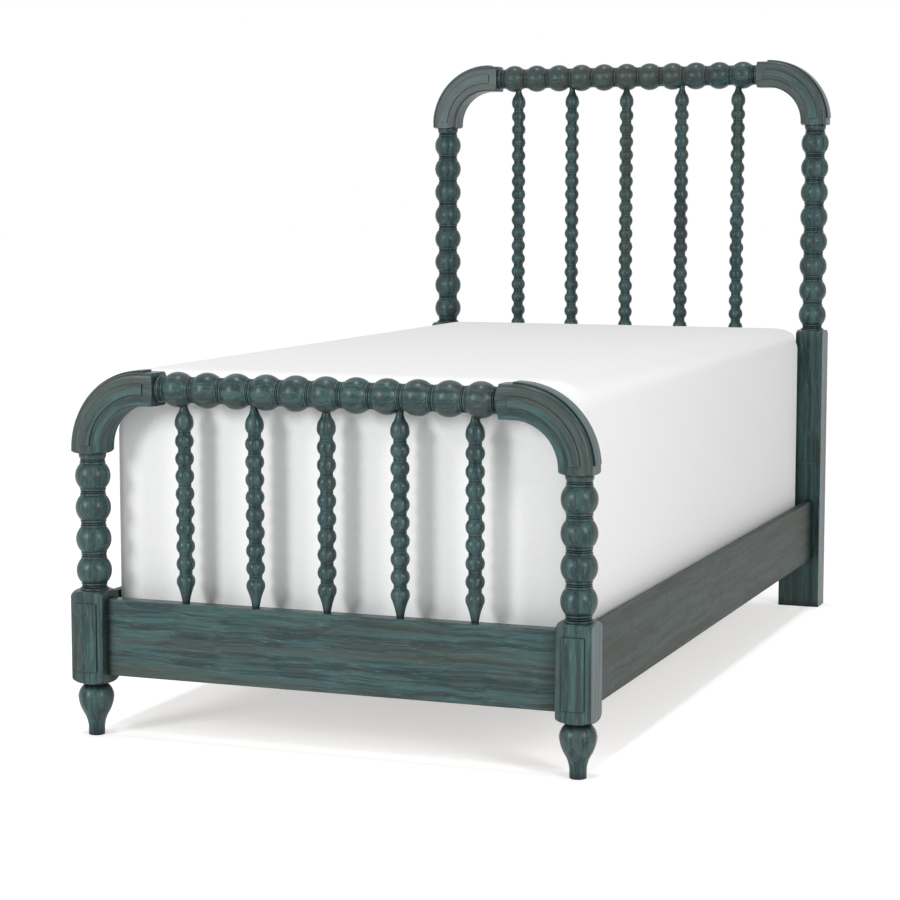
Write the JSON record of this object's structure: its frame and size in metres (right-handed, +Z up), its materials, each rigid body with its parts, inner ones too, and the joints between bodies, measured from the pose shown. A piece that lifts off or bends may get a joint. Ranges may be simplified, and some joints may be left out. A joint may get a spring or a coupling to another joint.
{
  "type": "panel bed",
  "caption": "single bed with beaded posts, top rails and spindles, square elbows, plank side rails, slats and a plain white mattress set",
  "frame": {"origin": "on the floor, at the middle of the bed's outer box", "axes": "X across the bed, Y from the foot end to the head end, Z up from the floor"},
  "size_m": [1.0914, 2.0624, 1.425],
  "materials": {
    "frame_paint": "satin blue-green paint with a dark brown antiquing glaze",
    "bare_wood": "planed softwood",
    "bedding_fabric": "smooth white cotton cover",
    "ticking_fabric": "plain off-white ticking",
    "zinc_steel": "zinc-plated steel",
    "glide_plastic": "black nylon"
  },
  "bodies": {
    "root": {"cleat_screws": "zinc_steel", "foot_block_panel_left": "frame_paint", "foot_block_panel_right": "frame_paint", "foot_elbow_left": "frame_paint", "foot_elbow_panel_left": "frame_paint", "foot_elbow_panel_right": "frame_paint", "foot_elbow_right": "frame_paint", "foot_elbow_strip_left": "frame_paint", "foot_elbow_strip_right": "frame_paint", "foot_leg_left": "frame_paint", "foot_leg_right": "frame_paint", "foot_lower_rail": "frame_paint", "foot_post_left": "frame_paint", "foot_post_right": "frame_paint", "foot_spindle_1": "frame_paint", "foot_spindle_2": "frame_paint", "foot_spindle_3": "frame_paint", "foot_spindle_4": "frame_paint", "foot_spindle_5": "frame_paint", "foot_top_rail": "frame_paint", "frame_dowels": "bare_wood", "glide_inserts": "zinc_steel", "head_elbow_left": "frame_paint", "head_elbow_panel_left": "frame_paint", "head_elbow_panel_right": "frame_paint", "head_elbow_right": "frame_paint", "head_elbow_strip_left": "frame_paint", "head_elbow_strip_right": "frame_paint", "head_leg_left": "frame_paint", "head_leg_right": "frame_paint", "head_lower_rail": "frame_paint", "head_post_left": "frame_paint", "head_post_right": "frame_paint", "head_spindle_1": "frame_paint", "head_spindle_2": "frame_paint", "head_spindle_3": "frame_paint", "head_spindle_4": "frame_paint", "head_spindle_5": "frame_paint", "head_top_rail": "frame_paint", "plate_screws": "zinc_steel", "post_slot_plates": "zinc_steel", "rail_hook_plates": "zinc_steel", "side_cleat_left": "bare_wood", "side_cleat_right": "bare_wood", "side_rail_left": "frame_paint", "side_rail_right": "frame_paint", "slat_1": "bare_wood", "slat_2": "bare_wood", "slat_3": "bare_wood", "slat_4": "bare_wood", "slat_leg_back": "bare_wood", "slat_leg_front": "bare_wood", "slat_screws": "zinc_steel"},
    "bedding": {"bedding_cover": "bedding_fabric", "box_spring": "ticking_fabric", "mattress": "ticking_fabric"},
    "glide_pad_front": {"glide_pad_front": "glide_plastic"},
    "glide_stem_front": {"glide_stem_front": "zinc_steel"},
    "glide_pad_back": {"glide_pad_back": "glide_plastic"},
    "glide_stem_back": {"glide_stem_back": "zinc_steel"}
  },
  "joints": [
    {"name": "bedding_lift", "type": "slide", "parent": "root", "child": "bedding", "axis": [0, 0, 1], "range_m": [0, 0.35]},
    {"name": "glide_front_height", "type": "slide", "parent": "root", "child": "glide_pad_front", "axis": [0, 0, 1], "range_m": [0, 0.012]},
    {"name": "glide_front_screw", "type": "hinge", "parent": "glide_pad_front", "child": "glide_stem_front", "pos_m": [0, -0.27325, 0.006], "axis": [0, 0, 1], "range_deg": [0, 3450]},
    {"name": "glide_back_height", "type": "slide", "parent": "root", "child": "glide_pad_back", "axis": [0, 0, 1], "range_m": [0, 0.012]},
    {"name": "glide_back_screw", "type": "hinge", "parent": "glide_pad_back", "child": "glide_stem_back", "pos_m": [0, 0.27625, 0.006], "axis": [0, 0, 1], "range_deg": [0, 3450]}
  ],
  "couplings": [
    {"joint": "glide_front_height", "follows": "glide_front_screw", "m_per_rad": 0.00019894},
    {"joint": "glide_back_height", "follows": "glide_back_screw", "m_per_rad": 0.00019894}
  ]
}
